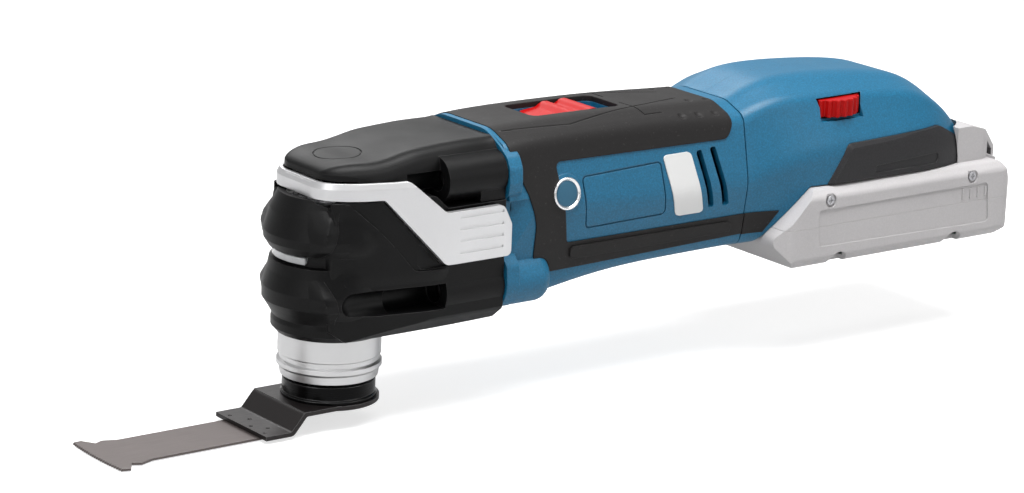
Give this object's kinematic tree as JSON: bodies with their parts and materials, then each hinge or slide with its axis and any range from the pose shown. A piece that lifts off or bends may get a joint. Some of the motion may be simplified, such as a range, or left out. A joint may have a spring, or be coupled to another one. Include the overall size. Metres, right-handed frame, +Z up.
{
  "type": "oscillating multi tool",
  "caption": "Cordless oscillating multi tool: quick-release lever head with a plunge saw blade, barrel grip with slide switch and speed dial, and a slide-on battery pack.",
  "frame": {"origin": "on the spindle axis, in the plane where an accessory seats on the tool flange", "axes": "+X back along the tool to the battery, +Z up along the spindle, -Y the tool's left side"},
  "size_m": [0.3927, 0.0744, 0.1058],
  "materials": {
    "bearing_steel": "polished",
    "black_plastic": "fine grained",
    "black_steel": "black oxide",
    "blade_steel": "bronze brown coating",
    "blue_plastic": "fine grained",
    "board_green": "lacquered",
    "capacitor_black": "sleeved",
    "case_aluminium": "machined and satin",
    "cell_wrap": "shrink wrap",
    "copper": "enamelled wire",
    "dark_grey_plastic": "fine grained",
    "grey_plastic": "fine grained",
    "insert_plastic": "satin",
    "laminated_steel": "stacked sheets",
    "lens_clear": "clear",
    "lever_silver": "satin silver",
    "magnet": "sintered",
    "nickel": "plain",
    "red_plastic": "satin",
    "soft_grip": "matt, slightly soft",
    "spring_steel": "oiled",
    "steel": "ground",
    "white_plastic": "smooth",
    "zinc_screw": "zinc plated"
  },
  "bodies": {
    "housing": {"bracket_screws": "zinc_screw", "capacitors": "capacitor_black", "control_board": "board_green", "foot_inserts": "insert_plastic", "gear_case": "case_aluminium", "grip_sleeve": "soft_grip", "head_body": "black_plastic", "head_cap": "black_plastic", "head_screws": "zinc_screw", "heat_sink": "case_aluminium", "lever_bracket": "steel", "lever_hinge_pin": "steel", "micro_switch": "dark_grey_plastic", "motor_front_bearing": "bearing_steel", "motor_housing": "blue_plastic", "motor_rear_bearing": "bearing_steel", "motor_stator": "laminated_steel", "rear_grip_strips": "soft_grip", "rear_housing_left": "blue_plastic", "rear_housing_right": "blue_plastic", "rear_housing_screws": "zinc_screw", "rocker_pin": "steel", "speed_dial_board": "board_green", "spindle_lower_bearing": "bearing_steel", "spindle_upper_bearing": "bearing_steel", "stator_coils": "copper", "terminal_blades": "nickel", "terminal_block": "dark_grey_plastic", "work_light_board": "white_plastic", "work_light_lens": "lens_clear"},
    "spindle": {"spindle": "steel", "tool_flange": "black_steel", "drive_fork": "steel", "clamp_spring": "spring_steel"},
    "rotor": {"motor_shaft": "steel", "rotor_core": "laminated_steel", "rotor_magnets": "magnet", "cooling_fan": "dark_grey_plastic", "counterweight": "steel", "eccentric_bearing": "bearing_steel"},
    "lever": {"release_lever": "lever_silver"},
    "rocker": {"release_rocker": "steel"},
    "rod": {"clamp_rod": "steel", "spring_collar": "steel"},
    "jaw_left": {"clamp_jaw_left": "steel"},
    "jaw_right": {"clamp_jaw_right": "steel"},
    "blade": {"blade_carrier": "blade_steel", "saw_blade": "blade_steel"},
    "switch": {"switch_slider": "red_plastic", "switch_link": "dark_grey_plastic"},
    "wheel": {"speed_wheel": "red_plastic"},
    "battery": {"battery_lower_case": "grey_plastic", "battery_upper_case": "grey_plastic", "battery_cells": "cell_wrap", "cell_holders": "white_plastic", "cell_links": "nickel", "battery_contacts": "nickel", "battery_screws": "zinc_screw"},
    "battery_button": {"battery_release_button": "dark_grey_plastic"}
  },
  "joints": [
    {"name": "spindle_swing", "type": "hinge", "parent": "housing", "child": "spindle", "pos_m": [0, 0, 0.04], "axis": [0, 0, 1], "range_deg": [-1.4, 1.4]},
    {"name": "motor_spin", "type": "hinge", "parent": "housing", "child": "rotor", "pos_m": [0.08, 0, 0.061], "axis": [1, 0, 0], "continuous": true},
    {"name": "lever_hinge", "type": "hinge", "parent": "housing", "child": "lever", "pos_m": [-0.0118, 0, 0.0772], "axis": [0, -1, 0], "range_deg": [0, 75]},
    {"name": "rocker_hinge", "type": "hinge", "parent": "housing", "child": "rocker", "pos_m": [-0.0056, 0, 0.0814], "axis": [0, 1, 0], "range_deg": [0, 23.6]},
    {"name": "rod_slide", "type": "slide", "parent": "spindle", "child": "rod", "axis": [0, 0, -1], "range_m": [0, 0.0022], "deforming": ["clamp_spring"]},
    {"name": "jaw_left_hinge", "type": "hinge", "parent": "rod", "child": "jaw_left", "pos_m": [0, -0.00285, 0.027], "axis": [1, 0, 0], "range_deg": [0, 5.5]},
    {"name": "jaw_right_hinge", "type": "hinge", "parent": "rod", "child": "jaw_right", "pos_m": [0, 0.00285, 0.027], "axis": [-1, 0, 0], "range_deg": [0, 5.5]},
    {"name": "blade_drop", "type": "slide", "parent": "spindle", "child": "blade", "axis": [0, 0, -1], "range_m": [0, 0.0022]},
    {"name": "switch_slide", "type": "slide", "parent": "housing", "child": "switch", "axis": [-1, 0, 0], "range_m": [0, 0.005]},
    {"name": "speed_wheel_turn", "type": "hinge", "parent": "housing", "child": "wheel", "pos_m": [0.2105, -0.0178, 0.0859], "axis": [0, 0, 1], "range_deg": [-135, 135]},
    {"name": "battery_slide", "type": "slide", "parent": "housing", "child": "battery", "axis": [1, 0, 0], "range_m": [0, 0.08]},
    {"name": "battery_button_push", "type": "slide", "parent": "battery", "child": "battery_button", "axis": [-1, 0, 0], "range_m": [0, 0.003], "stiffness_N_per_m": 400}
  ],
  "couplings": [
    {"joint": "rocker_hinge", "follows": "lever_hinge", "ratio": 0.31467},
    {"joint": "rod_slide", "follows": "lever_hinge", "m_per_rad": 0.0016807},
    {"joint": "jaw_left_hinge", "follows": "lever_hinge", "ratio": 0.073333},
    {"joint": "jaw_right_hinge", "follows": "lever_hinge", "ratio": 0.073333},
    {"joint": "blade_drop", "follows": "lever_hinge", "m_per_rad": 0.0016807}
  ]
}
